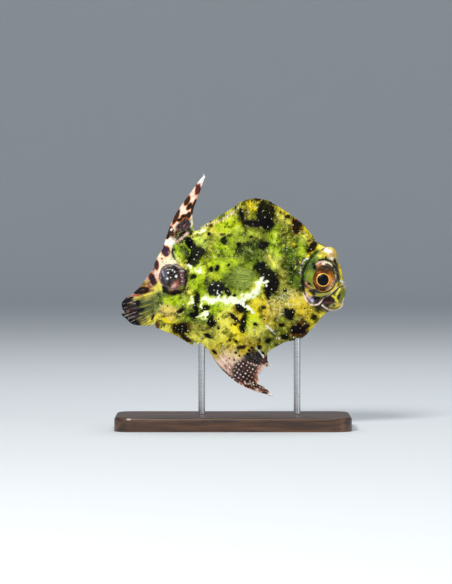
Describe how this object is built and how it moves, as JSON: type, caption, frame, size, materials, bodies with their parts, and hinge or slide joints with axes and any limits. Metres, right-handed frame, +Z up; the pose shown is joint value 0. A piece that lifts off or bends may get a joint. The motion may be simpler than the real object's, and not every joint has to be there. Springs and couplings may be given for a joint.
{
  "type": "bristle-tail filefish",
  "caption": "Small deep-bodied filefish model in mottled green and yellow, with a long banded spine and a dotted ventral flap, held level on a wooden base by steel rods.",
  "frame": {"origin": "middle of the display base's underside, which is the middle of the bottom of the whole part's box", "axes": "+X towards the fish's head, +Y towards the fish's left side and away from the picture's viewer, +Z up"},
  "size_m": [0.084, 0.04, 0.0903],
  "materials": {
    "skin": "rough mottled green and yellow skin with fine prickles, dark blotches and pale specks",
    "fin": "thin rayed yellow-green membrane with dark spots",
    "banded_skin": "cream to pink skin with dark brown, orange-edged bands and rows of pale dots",
    "eye": "glossy clear dome over a copper and gold iris with a black pupil",
    "dark_wood": "satin dark-stained close-grained wood",
    "steel": "brushed steel rod"
  },
  "bodies": {
    "root": {"head": "skin", "lower_jaw": "skin", "trunk": "skin", "tail_stalk": "skin", "tail_fin": "fin", "dorsal_spine": "banded_skin", "dorsal_fin": "fin", "anal_fin": "fin", "ventral_flap": "banded_skin", "pectoral_fin_left": "fin", "pectoral_fin_right": "fin", "eye_left": "eye", "eye_right": "eye", "stand_base": "dark_wood", "stand_rod_front": "steel", "stand_rod_rear": "steel"}
  },
  "joints": []
}
